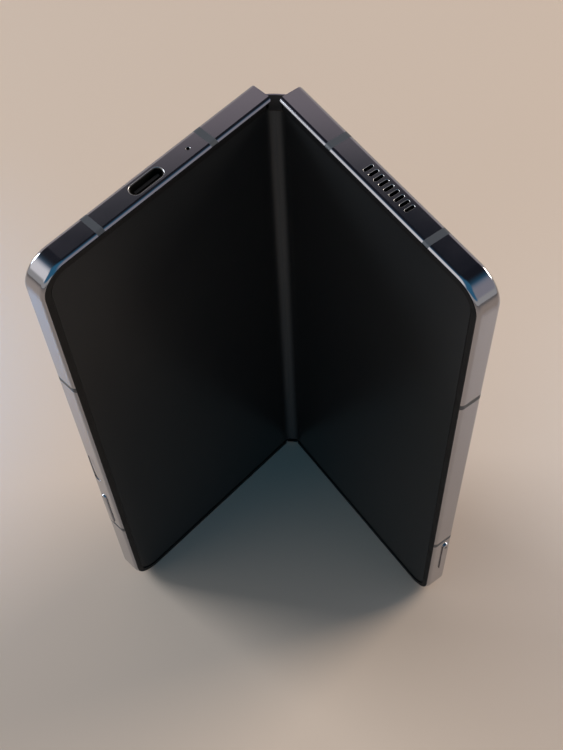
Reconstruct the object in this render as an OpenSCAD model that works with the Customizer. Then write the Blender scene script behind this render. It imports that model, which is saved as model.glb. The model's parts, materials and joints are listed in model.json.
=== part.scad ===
// Foldable smartphone, half open, standing on its upper short edge.
// The hinge line is vertical. Seen from the front the half with the rear cameras is on the left.
// Each half is drawn unfolded and then turned about its own hinge axis.
// Plan of a half: X runs away from the hinge, Y up the phone as it stands, Z from display to back.

/* [Body] */
// Height of the phone as it stands, which is its long side
phone_h = 155.1; // [150:0.1:162]
// Width of one half from the middle of the hinge
half_w = 65.05; // [62:0.05:70]
// Thickness of one half
body_t = 6.3; // [6.2:0.1:7.5]
// Radius of the outer corners of a half
corner_r = 7; // [5:0.5:10]
// Radius of the metal edge on the display side
front_r = 1.2; // [0.3:0.05:1.25]
// Radius of the metal edge on the back
back_r = 0.9; // [0.5:0.1:1.3]
// Width of the frame rails
rail_w = 2.3; // [2:0.1:3]
// Thickness of the frame rails where they pass the ends of the hinge
hinge_rail_w = 1.3; // [1.1:0.1:1.5]
// Width of the rails' flat rim around the back panel
back_rim = 1.5; // [1.2:0.1:2]
// Thickness of the back panel and of the cover display's glass
back_panel_t = 0.65; // [0.5:0.05:0.8]
// Thickness of the plate in the middle of each frame
mid_plate_t = 0.5; // [0.4:0.1:0.8]
// Width of the plastic antenna bands
band_w = 1.8; // [1:0.1:2.5]
// Places of the antenna bands on the short edges, from the middle of the hinge
band_s = [17, 48.3];
// Places of the antenna bands on the long edge, up from the standing edge
band_h = [35.5, 112.7];

/* [Fold] */
// Angle that each half is folded from flat as it stands
fold_deg = 49.61; // [12:0.01:78]
// Angle of each half when the phone is shut
shut_deg = 90.68; // [90:0.01:91]
// Distance of each hinge axis from the middle
axis_s = 2.05; // [2:0.05:2.3]
// Depth of the hinge axes behind the display side
axis_t = 0.45; // [0.4:0.05:0.5]
// Half of the gap between the frames when flat
end_gap = 0.25; // [0.2:0.05:0.5]
// Radius of the frames' corners beside the hinge, on the display side
end_front_r = 1.2; // [0.3:0.1:1.3]

/* [Display] */
// Depth of the display surface below the rim
screen_t0 = 0.3; // [0.3:0.05:0.35]
// Thickness of the display
screen_t = 0.35; // [0.3:0.01:0.36]
// Thickness of the metal plate under the display
support_t = 0.35; // [0.3:0.01:0.35]
// Width of the metal lip outside the bezel
lip_w = 0.5; // [0.45:0.05:0.6]
// Inner edge of the bezel, in from the outer edge
bezel_in = 1.9; // [1.7:0.1:2.4]
// Thickness of the bezel
bezel_t = 0.28; // [0.2:0.01:0.28]
// Edge of the display under the bezel, in from the outer edge
screen_edge = 0.95; // [0.9:0.05:1.2]
// Half width of the display's free strip across the hinge
strip_s = 4; // [3.6:0.1:4.4]
// Radius of the fold in the display as it stands
crease_r = 2; // [1.6:0.1:2.4]
// Inner end of the metal plates under the display
support_s = 3.05; // [3:0.05:3.4]

/* [Hinge] */
// Radius of the spine's sides about the hinge axes
spine_r = 5.1; // [5.05:0.01:5.12]
// Depth of the back of the spine behind the display side
spine_t = 4.55; // [4.5:0.05:4.7]
// Radius of the spine's gently curved back
spine_back_r = 20; // [18:1:60]
// Wall of the spine cover
spine_wall = 0.35; // [0.3:0.01:0.38]
// Height of the spine's rim behind the display side
spine_rim_t = 1.6; // [1.6:0.05:1.7]
// Running gap between the spine and the pockets in the frames
spine_gap = 0.1; // [0.08:0.01:0.15]
// How far the spine's ends lie inside the phone's short edges
spine_inset = 1.6; // [1.6:0.1:2.5]
// Heights of the two hinge modules' middles, as shares of the height
module_places = [0.2, 0.8];
// Length of each arc rail
rail_len = 5; // [4:0.5:7]
// Length of the gears
gear_len = 4; // [3:0.5:6]
// Thickness of the walls between the stations of a module
station_wall = 0.8; // [0.6:0.1:1.2]
// Inner radius of the arc rails
arc_r0 = 2.75; // [2.7:0.05:2.8]
// Outer radius of the arc rails
arc_r1 = 3.4; // [3.3:0.05:3.45]
// Running gap round the arc rails
arc_gap = 0.05; // [0.03:0.01:0.07]
// Module of the gear teeth
gear_m = 0.14; // [0.13:0.001:0.141]
// Teeth on a full turn of the arc gears
arc_teeth = 25; // [23:1:25]
// Teeth on each pinion, an even number
pinion_teeth = 12; // [10:2:12]
// Play between the gear teeth
backlash = 0.03; // [0.02:0.005:0.04]
// Radius of the pinions' pins
pin_r = 0.3; // [0.25:0.01:0.35]
// Running gap round the pins
pin_gap = 0.03; // [0.02:0.01:0.05]
// Thickness of the shelves in the frames that the brackets are screwed to
shelf_t = 0.8; // [0.6:0.1:1]
// Radius of the bracket screws
screw_r = 0.6; // [0.5:0.05:0.7]

/* [Keys and tray] */
// Depth of the keys' and the tray's middle line behind the display side
key_t = 4.25; // [4:0.05:4.4]
// Width of the keys
key_w = 1.9; // [1.6:0.1:2]
// Gap round the keys and the tray
key_gap = 0.1; // [0.08:0.01:0.15]
// Length of the power key
power_len = 13.2; // [10:0.1:15]
// Height of the middle of the power key
power_h = 68.7; // [66:0.1:72]
// How far the power key lies below the surface
power_sink = 0.1; // [0:0.05:0.2]
// Travel of the power key
power_travel = 0.25; // [0.15:0.05:0.3]
// Length of the volume key
volume_len = 16.3; // [14:0.1:18]
// Height of the middle of the volume key
volume_h = 44.8; // [42:0.1:46]
// How far the volume key stands out
key_rise = 0.35; // [0.2:0.05:0.5]
// Length of the tray's cap
tray_len = 16.5; // [16:0.1:17.5]
// Height of the middle of the tray
tray_h = 23.9; // [22:0.1:25]
// How far the tray reaches in from the outer face
tray_depth = 21; // [18:0.5:23]

/* [Openings] */
// Place of the charging socket
usb_s = 33.45; // [31:0.05:36]
// Width of the charging socket's shell
usb_w = 8.94; // [8.9:0.01:9]
// Height of the charging socket's shell
usb_h = 3.26; // [3.2:0.01:3.3]
// Wall of the charging socket's shell
usb_wall = 0.3; // [0.2:0.05:0.35]
// Depth of the charging socket
usb_depth = 7; // [6:0.1:8]
// Place of the microphone hole
mic_s = 21.8; // [20:0.1:24]
// Radius of the microphone hole
mic_r = 0.5; // [0.3:0.05:0.6]
// Depth of the openings' middle line behind the display side
port_t = 3.3; // [3.1:0.05:3.4]
// Number of speaker slots
slots = 9; // [5:1:10]
// Place of the first speaker slot
slot_s = 26.6; // [25:0.1:28]
// Distance from slot to slot
slot_pitch = 1.64; // [1.4:0.01:1.7]
// Width of each slot
slot_w = 1; // [0.6:0.05:1]
// Length of each slot
slot_len = 2.6; // [1.8:0.1:2.6]

/* [Cameras] */
// Distance of the rear cameras' line in from the long edge
camera_s = 13.65; // [13.05:0.05:15.05]
// Height of the middle camera
camera_h = 34; // [33:0.5:36]
// Distance from camera to camera
camera_pitch = 15.5; // [14.5:0.1:16]
// Radius of the raised island round the cameras
island_r = 8.4; // [7.8:0.1:8.8]
// Height of the island above the back
island_rise = 1; // [0.6:0.1:1.4]
// Radius of the lens rings
ring_r = 6.6; // [6:0.1:7]
// Radius of the lens windows
window_r = 5.1; // [4.5:0.1:5.4]
// Height of the lens rings above the island
ring_rise = 0.5; // [0.3:0.1:0.8]
// Radius of the flash window
flash_r = 2; // [1.5:0.1:2.5]
// Radius of the front cameras' windows
front_camera_r = 1.8; // [1.4:0.1:2]
// Length of the earpiece's slot
earpiece_len = 10; // [6:0.5:12]
// Width of the earpiece's slot
earpiece_w = 0.7; // [0.5:0.05:0.9]

/* [Inside] */
// Distances of the middles of the flex cables below the batteries' lower edge
flex_places = [16, 7];
// Width of each flex cable
flex_w = 7; // [5:0.5:7.5]
// Thickness of the flex cables
flex_t = 0.16; // [0.1:0.02:0.2]
// Thickness of the cover display's panel under its glass
cover_screen_t = 0.3; // [0.2:0.05:0.3]
// Height of the batteries' lower edge
battery_h0 = 64; // [62:0.5:70]
// Height of the batteries' upper edge
battery_h1 = 112.5; // [108:0.5:113]
// Thickness of the main half's battery
battery_t = 3.7; // [3:0.1:3.8]
// Thickness of the cover half's battery
cover_battery_t = 3.2; // [2.8:0.1:3.4]
// Thickness of the circuit boards
board_t = 0.8; // [0.6:0.1:1]
// Gap between parts inside
inner_gap = 0.15; // [0.1:0.05:0.25]
// Thickness of the ribs beside the batteries
rib_w = 0.8; // [0.6:0.1:1.2]
// Width of the channel for the keys' switches along the long edge
key_channel = 3.4; // [2.6:0.1:4]
// Side of the rear cameras' square bodies
camera_body = 9.2; // [8.8:0.1:9.6]
// Outer radius of the charging coil
coil_r1 = 21; // [18:0.5:22]
// Inner radius of the charging coil
coil_r0 = 11; // [8:0.5:13]
// Length of the vibration motor
motor_len = 11.5; // [9:0.5:12]
// Width of the vibration motor
motor_w = 10; // [8:0.5:11]
// How far the port board reaches past the socket's middle
port_board_past = 9; // [7:0.5:9.5]
// How far the port board reaches past the microphone's middle
microphone_past = 4; // [2.5:0.5:4.5]
// Length of the earpiece
speaker_box_len = 11; // [8:0.5:12]
// Width of the earpiece
speaker_box_w = 5; // [4:0.5:6]

/* [Hidden] */
$fn = 96;
eps = 0.01;

// Layers of a half, from the display side to the back
screen_t1 = screen_t0 + screen_t;
support_t1 = screen_t1 + support_t;
mid_t1 = support_t1 + mid_plate_t;
back_t0 = body_t - back_panel_t;
inside_t0 = mid_t1 + inner_gap;
rib_t1 = back_t0 - 0.6;

// Inner boundaries of a half
pocket_r = spine_r + spine_gap;
pocket_wall = 0.6;
inside_s0 = axis_s + pocket_r + pocket_wall + inner_gap;
inside_s1 = half_w - rail_w - inner_gap;
battery_s1 = half_w - rail_w - key_channel;
panel_s0 = axis_s + pocket_r + pocket_wall;
camera_line_s = half_w - camera_s;
glass_gap = 0.03;

// The row's origin is under the middle of the standing phone's outline. In front that ends at
// the rounded edge or at the bezel's outer corner, whichever reaches further.
edge_front_y = axis_t - (half_w - front_r - axis_s) * sin(fold_deg)
    + (front_r - axis_t) * cos(fold_deg) - front_r;
bezel_front_y = axis_t - (half_w - lip_w - axis_s) * sin(fold_deg) - axis_t * cos(fold_deg);
half_front_y = min(edge_front_y, bezel_front_y);
half_back_y = axis_t + (axis_s - end_gap - back_r) * sin(fold_deg)
    + (body_t - back_r - axis_t) * cos(fold_deg) + back_r;
hinge_y = -(half_front_y + max(half_back_y, spine_t)) / 2;

// Gears: the arc gear turns about the hinge axis, the four pinions lie in one row
arc_pitch_r = arc_teeth * gear_m / 2;
pinion_pitch_r = pinion_teeth * gear_m / 2;
outer_pinion_s = 3 * pinion_pitch_r;
inner_pinion_s = pinion_pitch_r;
mesh_run = outer_pinion_s - axis_s;
mesh_deg = acos(mesh_run / (arc_pitch_r + pinion_pitch_r));
pinion_t = axis_t + (arc_pitch_r + pinion_pitch_r) * sin(mesh_deg);
addendum = 0.8 * gear_m;
dedendum = 1.2 * gear_m;
tooth_gap = 0.07;
pressure_deg = 20;
arc_first_deg = mesh_deg - 10;
arc_last_deg = mesh_deg + shut_deg + 3;
arc_rail_deg = 160;

// Hinge modules: rail of one half, gears, rail of the other half
module_len = 2 * rail_len + gear_len + 4 * station_wall;
gear_z = station_wall + rail_len + station_wall;
far_rail_z = gear_z + gear_len + station_wall;
module_z = [for (p = module_places) p * phone_h - module_len / 2];
spine_z0 = spine_inset;
spine_z1 = phone_h - spine_inset;
flange_t0 = support_t1;
flange_t1 = mid_t1;
flange_end_s = panel_s0 + 4.4;
screw_s = panel_s0 + 2.2;
screw_head_r = screw_r + 0.5;
screw_head_t = 0.25;
boss_len = 2.4;
shelf_rim = 1;
shelf_s1 = flange_end_s + shelf_rim;
cap_len = 2.4;
cap_tongue_s = axis_s - axis_t - 0.15;
cap_tongue_t = 0.35;
strip_z0 = spine_z0 + cap_tongue_t + 0.05;

// Colours
graphite = "#8d8f98";
dark_plastic = "#2a2b2f";
screen_black = "#0c0d10";
steel = "#a9adb5";
glass_grey = "#55585f";
board_green = "#234a39";
cell_grey = "#3d4046";
band_grey = "#5a5c62";
brass = "#b59a5b";

// ---- Placing ----

// A half is drawn unfolded on the +X side, X away from the hinge, Y from display to back
module place_half(side) {
    translate([0, hinge_y, 0])
        mirror([side < 0 ? 1 : 0, 0, 0])
            translate([axis_s, axis_t, 0])
                rotate([0, 0, -fold_deg])
                    translate([-axis_s, -axis_t, 0])
                        children();
}

module main_half() {
    place_half(-1) children();
}

module cover_half() {
    place_half(1) children();
}

module spine_place() {
    translate([0, hinge_y, 0]) children();
}

// Turns a plan drawing (X, height, depth) into the standing half
module plan() {
    mirror([0, 1, 0]) rotate([90, 0, 0]) children();
}

// A plan shape as a plate between two depths
module layer(t0, t1) {
    translate([0, 0, t0]) linear_extrude(t1 - t0) children();
}

// ---- Shapes ----

// The waste of a rounded corner: the corner is at the origin and the material in +X +Y
module corner_waste(r) {
    difference() {
        translate([-eps, -eps]) square(r + eps);
        translate([r, r]) circle(r);
    }
}

// Outline of a half in plan, a distance in from its outer edges
module half_plan(inset, start) {
    r = corner_r - inset;
    translate([start, inset])
        square([half_w - inset - r - start, phone_h - 2 * inset]);
    translate([start, inset + r])
        square([half_w - inset - start, phone_h - 2 * (inset + r)]);
    for (y = [inset + r, phone_h - inset - r])
        translate([half_w - inset - r, y]) circle(r);
}

module stadium(len, w) {
    square([len - w, w], center = true);
    for (x = [-1, 1]) translate([x * (len - w) / 2, 0]) circle(w / 2);
}

module rounded_rect(size, r) {
    translate([r, 0]) square([size[0] - 2 * r, size[1]]);
    translate([0, r]) square([size[0], size[1] - 2 * r]);
    for (x = [r, size[0] - r], y = [r, size[1] - r]) translate([x, y]) circle(r);
}

// A block in plan between two corners and two depths, with rounded upright edges
module plan_block(s0, s1, h0, h1, t0, t1, r = 0.5) {
    translate([s0, h0, t0])
        linear_extrude(t1 - t0)
            rounded_rect([s1 - s0, h1 - h0], r);
}

// A stadium-shaped bar through the long edge, in plan, from s0 to s1
module edge_bar(h, len, w, s0, s1) {
    translate([s0, h, key_t])
        rotate([90, 0, 90])
            linear_extrude(s1 - s0)
                stadium(len, w);
}

// A bar through the upper short edge, in plan, from depth d below it outwards
module top_bar(s, t, d) {
    translate([s, phone_h + eps, t])
        rotate([90, 0, 0])
            linear_extrude(d + eps)
                children();
}

module wedge(a0, a1, r) {
    steps = ceil((a1 - a0) / 60);
    polygon(concat(
        [[0, 0]],
        [for (i = [0 : steps]) let (a = a0 + (a1 - a0) * i / steps)
            2 * r * [cos(a), sin(a)]]
    ));
}

module ring_sector(r0, r1, a0, a1) {
    intersection() {
        difference() {
            circle(r1);
            circle(r0);
        }
        wedge(a0, a1, r1);
    }
}

// ---- Gear teeth ----

// Angle of the involute at radius r, from its foot on the base circle
function involute(r, base) = let (a = acos(min(1, base / r))) tan(a) * 180 / PI - a;

// Half of the tooth's angle at radius r
function tooth_half(r, pitch_r, teeth) =
    let (base = pitch_r * cos(pressure_deg))
    90 / teeth - backlash / (4 * pitch_r) * 180 / PI
        + involute(pitch_r, base) - involute(max(r, base), base);

function polar(r, a) = [r * cos(a), r * sin(a)];

// One tooth, centred on the angle a, rooted a little inside the root circle
module tooth(a, pitch_r, teeth) {
    tip = pitch_r + addendum;
    root = pitch_r - dedendum;
    foot = root - 0.03;
    rise = [root, pitch_r - addendum / 2, pitch_r, pitch_r + addendum / 2, tip];
    polygon(concat(
        [polar(foot, a - tooth_half(root, pitch_r, teeth))],
        [for (r = rise) polar(r, a - tooth_half(r, pitch_r, teeth))],
        [for (i = [4 : -1 : 0]) polar(rise[i], a + tooth_half(rise[i], pitch_r, teeth))],
        [polar(foot, a + tooth_half(root, pitch_r, teeth))]
    ));
}

// ---- Spine ----

module spine_outline(inset) {
    r = spine_r - inset;
    intersection() {
        union() {
            for (x = [-axis_s, axis_s]) translate([x, axis_t]) circle(r);
            translate([-axis_s, axis_t]) square([2 * axis_s, r]);
        }
        translate([0, spine_t - spine_back_r]) circle(spine_back_r - inset, $fn = 256);
        translate([-2 * spine_r, spine_rim_t]) square([4 * spine_r, 2 * spine_r]);
    }
}

module spine_cover() {
    color(graphite) spine_place()
        translate([0, 0, spine_z0])
            linear_extrude(spine_z1 - spine_z0)
                difference() {
                    spine_outline(0);
                    spine_outline(spine_wall);
                }
}

// Room for the display inside the spine when the phone is shut, in section
shut_crease_r = axis_s - axis_t + screen_t0;
valley_s = shut_crease_r + screen_t + 0.1;
valley_t = axis_t + axis_s - shut_crease_r * (PI / 2 - 1) + screen_t + 0.1;

module valley_section() {
    difference() {
        spine_outline(spine_wall);
        translate([-valley_s, 0]) square([2 * valley_s, valley_t]);
    }
}

module axis_circle(side, r) {
    translate([side * axis_s, axis_t]) circle(r);
}

module arc_groove(side, z) {
    translate([0, 0, z - arc_gap])
        linear_extrude(rail_len + 2 * arc_gap)
            difference() {
                axis_circle(side, arc_r1 + arc_gap);
                axis_circle(side, arc_r0 - arc_gap);
            }
}

module pinion_centres() {
    for (x = [-outer_pinion_s, -inner_pinion_s, inner_pinion_s, outer_pinion_s])
        translate([x, pinion_t]) children();
}

// The pinions' room in section: one slot for the row, open to the cover's floor
module pinion_room() {
    r = pinion_pitch_r + addendum + tooth_gap;
    pinion_centres() circle(r);
    translate([-outer_pinion_s - r, pinion_t]) square([2 * (outer_pinion_s + r), spine_t]);
    translate([-outer_pinion_s, pinion_t - 0.65 * r]) square([2 * outer_pinion_s, spine_t]);
}

module hinge_housing() {
    difference() {
        linear_extrude(module_len) valley_section();
        arc_groove(1, station_wall);
        arc_groove(-1, far_rail_z);
        translate([0, 0, gear_z])
            linear_extrude(gear_len) {
                for (side = [-1, 1]) axis_circle(side, arc_pitch_r + addendum + tooth_gap);
                pinion_room();
            }
        translate([0, 0, gear_z - station_wall / 2])
            linear_extrude(gear_len + station_wall)
                pinion_centres() circle(pin_r + pin_gap);
    }
}

module hinge_housings() {
    color(steel) spine_place()
        for (z = module_z) translate([0, 0, z]) hinge_housing();
}

// Ends of the spine: a plug in the cover and a tongue that closes the gap beside the display
module spine_end_cap() {
    linear_extrude(cap_len) valley_section();
    translate([-cap_tongue_s, 0, 0]) cube([2 * cap_tongue_s, valley_t + 0.5, cap_tongue_t]);
}

module spine_end_caps() {
    color(dark_plastic) spine_place() {
        translate([0, 0, spine_z0]) spine_end_cap();
        translate([0, 0, spine_z1]) mirror([0, 0, 1]) spine_end_cap();
    }
}

// The pinions turn with the halves: their teeth are placed for flat and turned with the fold
module pinion(s, side, phase, turn) {
    spine_place()
        mirror([side < 0 ? 1 : 0, 0, 0])
            for (z = module_z)
                translate([s, pinion_t, z + gear_z])
                    rotate([0, 0, phase + turn * fold_deg * arc_teeth / pinion_teeth]) {
                        translate([0, 0, arc_gap])
                            linear_extrude(gear_len - 2 * arc_gap) {
                                circle(pinion_pitch_r - dedendum);
                                for (i = [0 : pinion_teeth - 1])
                                    tooth(i * 360 / pinion_teeth, pinion_pitch_r, pinion_teeth);
                            }
                        translate([0, 0, -station_wall / 2 + arc_gap])
                            cylinder(r = pin_r, h = gear_len + station_wall - 2 * arc_gap);
                    }
}

// Half a pinion tooth's angle, which the mirrored side is shifted by so that teeth meet gaps
half_step = 180 / pinion_teeth;

module cover_outer_pinion() {
    color(brass) pinion(outer_pinion_s, 1, mesh_deg + 180 + half_step, 1);
}

module cover_inner_pinion() {
    color(brass) pinion(inner_pinion_s, 1, -mesh_deg, -1);
}

module main_outer_pinion() {
    color(brass) pinion(outer_pinion_s, -1, mesh_deg + 180, 1);
}

module main_inner_pinion() {
    color(brass) pinion(inner_pinion_s, -1, half_step - mesh_deg, -1);
}

// ---- Display strip across the hinge ----

// Path of the display surface from the middle outwards: flat, an arc, then straight to the half
strip_drop = axis_t - screen_t0;
fold_rad = fold_deg * PI / 180;
strip_end = [
    axis_s + (strip_s - axis_s) * cos(fold_deg) - strip_drop * sin(fold_deg),
    axis_t - (strip_s - axis_s) * sin(fold_deg) - strip_drop * cos(fold_deg)
];
strip_straight = (strip_s - strip_end[0] - crease_r * (fold_rad - sin(fold_deg)))
    / (1 - cos(fold_deg));
strip_flat = strip_s - crease_r * fold_rad - strip_straight;
strip_bottom = strip_end[1] + strip_straight * sin(fold_deg)
    + crease_r * (1 - cos(fold_deg));
strip_steps = 12;

// Point of the path's arc at the angle a, moved back by d
function strip_point(a, d) = [
    strip_flat + (crease_r + d) * sin(a),
    strip_bottom + d - (crease_r + d) * (1 - cos(a))
];

function strip_side(d) = concat(
    [for (i = [0 : strip_steps]) strip_point(fold_deg * i / strip_steps, d)],
    [strip_end + d * [sin(fold_deg), cos(fold_deg)]]
);

module strip_section() {
    front = strip_side(0);
    back = strip_side(screen_t);
    n = len(front);
    polygon(concat(
        [for (i = [n - 1 : -1 : 0]) [-front[i][0], front[i][1]]],
        front,
        [for (i = [n - 1 : -1 : 0]) back[i]],
        [for (p = back) [-p[0], p[1]]]
    ));
}

module display_fold_strip() {
    color(screen_black) spine_place()
        translate([0, 0, strip_z0])
            linear_extrude(phone_h - 2 * strip_z0)
                strip_section();
}

// ---- Flex cables between the halves ----

function bezier(p, u) = pow(1 - u, 3) * p[0] + 3 * u * pow(1 - u, 2) * p[1]
    + 3 * u * u * (1 - u) * p[2] + pow(u, 3) * p[3];
function slope(p, u) = 3 * pow(1 - u, 2) * (p[1] - p[0])
    + 6 * u * (1 - u) * (p[2] - p[1]) + 3 * u * u * (p[3] - p[2]);

// A point of the unfolded half, in section, where it stands at rest
function folded(p) = let (x = p[0] - axis_s, y = p[1] - axis_t) [
    axis_s + x * cos(fold_deg) + y * sin(fold_deg),
    axis_t - x * sin(fold_deg) + y * cos(fold_deg)
];

// From the board through the frame's window, then down through the spine to its middle
flex_gate = [panel_s0 - 0.6, support_t1 + 0.25];
flex_board = [shelf_s1 + 2.2, inside_t0 + 1.4];
flex_knee_s = flex_board[0] - 4;
flex_floor_t = spine_t - spine_wall - 0.35;
flex_in_half = [for (p = [flex_board, [flex_knee_s, flex_board[1]],
    [flex_knee_s, flex_gate[1]], flex_gate]) folded(p)];
flex_in_spine = [
    flex_in_half[3],
    folded([support_s, flex_gate[1]]),
    [axis_s + 1, flex_floor_t],
    [0, flex_floor_t]
];
flex_steps = 8;

function flex_edge(p, d, first) = [for (i = [first : flex_steps])
    let (u = i / flex_steps, n = slope(p, u))
    bezier(p, u) + d * [n[1], -n[0]] / norm(n)];

function flex_side(d) = concat(flex_edge(flex_in_half, d, 0), flex_edge(flex_in_spine, d, 1));

module flex_section() {
    outer = flex_side(flex_t / 2);
    inner = flex_side(-flex_t / 2);
    n = len(outer);
    polygon(concat(
        outer,
        [for (i = [n - 2 : -1 : 0]) [-outer[i][0], outer[i][1]]],
        [for (p = inner) [-p[0], p[1]]],
        [for (i = [n - 2 : -1 : 0]) inner[i]]
    ));
}

flex_h = [for (below = flex_places) battery_h0 - below];

module flex_cables() {
    color("#b5763a") spine_place()
        for (h = flex_h)
            translate([0, 0, h - flex_w / 2])
                linear_extrude(flex_w)
                    flex_section();
}

// Windows in a frame that the flex cables pass through
module flex_windows() {
    for (h = flex_h)
        translate([axis_s, support_t1 - eps, h - flex_w / 2 - 0.3])
            cube([flex_board[0] - axis_s - 2, mid_plate_t + 0.3, flex_w + 0.6]);
}

// ---- Frames ----

// Section of a rail: X in from the outer face, Y from the display side to the back
module rail_section(w) {
    difference() {
        square([w, body_t]);
        corner_waste(front_r);
        translate([0, body_t]) mirror([0, 1]) corner_waste(back_r);
        translate([lip_w, -eps]) square([w, bezel_t + eps]);
        translate([screen_edge, -eps]) square([w, support_t1 + eps]);
        translate([back_rim, back_t0]) square([w, back_panel_t + eps]);
    }
}

// The same rail beside the hinge: thinner, and closed to the back
module hinge_rail_section() {
    difference() {
        square([hinge_rail_w, body_t]);
        corner_waste(front_r);
        translate([0, body_t]) mirror([0, 1]) corner_waste(back_r);
        translate([lip_w, -eps]) square([rail_w, bezel_t + eps]);
        translate([screen_edge, -eps]) square([rail_w, support_t1 + eps]);
    }
}

module short_rail(s0, s1) {
    translate([s0, 0, 0]) rotate([90, 0, 90]) linear_extrude(s1 - s0) children();
}

module both_short_edges() {
    children();
    translate([0, phone_h, 0]) mirror([0, 1, 0]) children();
}

// All rails in plan
module rails() {
    both_short_edges() {
        short_rail(end_gap, panel_s0) hinge_rail_section();
        short_rail(panel_s0, half_w - corner_r) rail_section(rail_w);
        translate([half_w - corner_r, corner_r, 0])
            rotate([0, 0, -90])
                rotate_extrude(angle = 90)
                    translate([corner_r, 0]) mirror([1, 0]) rail_section(rail_w);
    }
    translate([half_w, phone_h - corner_r, 0])
        mirror([1, 0, 0])
            rotate([90, 0, 0])
                linear_extrude(phone_h - 2 * corner_r)
                    rail_section(rail_w);
}

// Where the plastic bands cross the rails
module band_cuts() {
    both_short_edges()
        for (s = band_s)
            translate([s - band_w / 2, -eps, -eps])
                cube([band_w, rail_w + 2 * eps, body_t + 2 * eps]);
    for (h = band_h)
        translate([half_w - rail_w - eps, h - band_w / 2, -eps])
            cube([rail_w + 2 * eps, band_w, body_t + 2 * eps]);
}

// Strip of the back and curved pocket wall that the spine turns in, in section (X, depth)
module pocket_section() {
    difference() {
        union() {
            axis_circle(1, pocket_r + pocket_wall);
            translate([end_gap, axis_t]) square([panel_s0 - end_gap, body_t - axis_t]);
        }
        axis_circle(1, pocket_r);
        square([axis_s, axis_t + pocket_r]);
        translate([0, -2 * pocket_r]) square([4 * pocket_r, 2 * pocket_r + support_t1]);
        translate([-4 * pocket_r, -2 * pocket_r]) square([4 * pocket_r + end_gap, 4 * pocket_r]);
        translate([0, body_t]) square([4 * pocket_r, 2 * pocket_r]);
    }
}

// Waste of the frame's rounded end beside the hinge, in section
module end_waste() {
    translate([end_gap, 0]) corner_waste(end_front_r);
    translate([end_gap, body_t]) mirror([0, 1]) corner_waste(back_r);
}

// Space that a hinge bracket needs in a frame
module bracket_seats() {
    for (z = module_z)
        translate([end_gap, 0, z - inner_gap])
            cube([flange_end_s + inner_gap - end_gap, mid_t1, module_len + 2 * inner_gap]);
}

module screw_places() {
    for (z = module_z, d = [3, module_len - 3])
        translate([screw_s, 0, z + d]) rotate([-90, 0, 0]) children();
}

// Frame with its middle plate, ribs and pocket, before the openings are cut
module frame_body() {
    difference() {
        union() {
            plan() difference() {
                rails();
                band_cuts();
            }
            plan() layer(support_t1, mid_t1) half_plan(rail_w - eps, panel_s0 - eps);
            translate([0, 0, hinge_rail_w - eps])
                linear_extrude(phone_h - 2 * hinge_rail_w + 2 * eps)
                    pocket_section();
            plan() for (h = [battery_h0 - inner_gap - rib_w, battery_h1 + inner_gap])
                translate([panel_s0 - eps, h, mid_t1 - eps])
                    cube([battery_s1 - panel_s0 + eps, rib_w, rib_t1 - mid_t1]);
            for (z = module_z)
                translate([panel_s0 - eps, mid_t1 - eps, z - shelf_rim])
                    cube([shelf_s1 - panel_s0, shelf_t + eps, module_len + 2 * shelf_rim]);
            screw_places() translate([0, 0, mid_t1]) cylinder(r = screw_r + 0.9, h = boss_len);
        }
        bracket_seats();
        flex_windows();
        linear_extrude(phone_h) end_waste();
        screw_places() cylinder(r = screw_r, h = flange_t1 + boss_len - 0.4);
    }
}

module antenna_bands() {
    color(band_grey) plan() difference() {
        intersection() {
            rails();
            band_cuts();
        }
        layer(support_t1, mid_t1) half_plan(rail_w - eps, panel_s0);
    }
}

module main_antenna_bands() {
    main_half() antenna_bands();
}

module cover_antenna_bands() {
    cover_half() antenna_bands();
}

module main_frame() {
    color(graphite) main_half() difference() {
        frame_body();
        plan() {
            top_bar(usb_s, port_t, rail_w + 1) stadium(usb_w + 0.1, usb_h + 0.1);
            top_bar(mic_s, port_t, rail_w + 1) circle(mic_r);
            translate([inner_camera_s, front_camera_h, 0])
                cylinder(r = front_camera_r, h = body_t / 2);
            edge_bar(power_h, power_len + 2 * key_gap, key_w + 2 * key_gap,
                half_w - rail_w - 1, half_w + 1);
            edge_bar(volume_h, volume_len + 2 * key_gap, key_w + 2 * key_gap,
                half_w - rail_w - 1, half_w + 1);
        }
    }
}

// The slots' middle line lies a little further back than the other openings'
slot_t = port_t + 0.15;

module slot_bars(d) {
    for (i = [0 : slots - 1])
        top_bar(slot_s + i * slot_pitch, slot_t, d)
            rotate([0, 0, 90]) stadium(slot_len, slot_w);
}

module cover_frame() {
    color(graphite) cover_half() difference() {
        frame_body();
        plan() {
            slot_bars(rail_w + 1);
            edge_bar(tray_h, tray_len + 2 * key_gap, key_w + 2 * key_gap,
                half_w - rail_w - 1, half_w + 1);
        }
    }
}

// ---- Hinge brackets ----

// Arc gear in section: the disc is cut along the display's back and beside the metal plate
module arc_gear_section(shift) {
    step = 360 / arc_teeth;
    first = ceil((arc_first_deg - mesh_deg) / step - shift);
    last = floor((arc_last_deg - mesh_deg) / step - shift);
    intersection() {
        translate([axis_s, axis_t]) {
            circle(arc_pitch_r - dedendum);
            for (i = [first : last])
                tooth(mesh_deg + (i + shift) * step, arc_pitch_r, arc_teeth);
        }
        union() {
            translate([-spine_r, screen_t1 + 0.04])
                square([spine_r + support_s - 0.05, 2 * spine_r]);
            translate([-spine_r, flange_t0]) square([3 * spine_r, 2 * spine_r]);
        }
    }
}

module arc_rail_section() {
    intersection() {
        translate([axis_s, axis_t]) ring_sector(arc_r0, arc_r1, 0, arc_rail_deg);
        translate([-spine_r, flange_t0 + 0.1]) square([3 * spine_r, 2 * spine_r]);
    }
}

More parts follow.
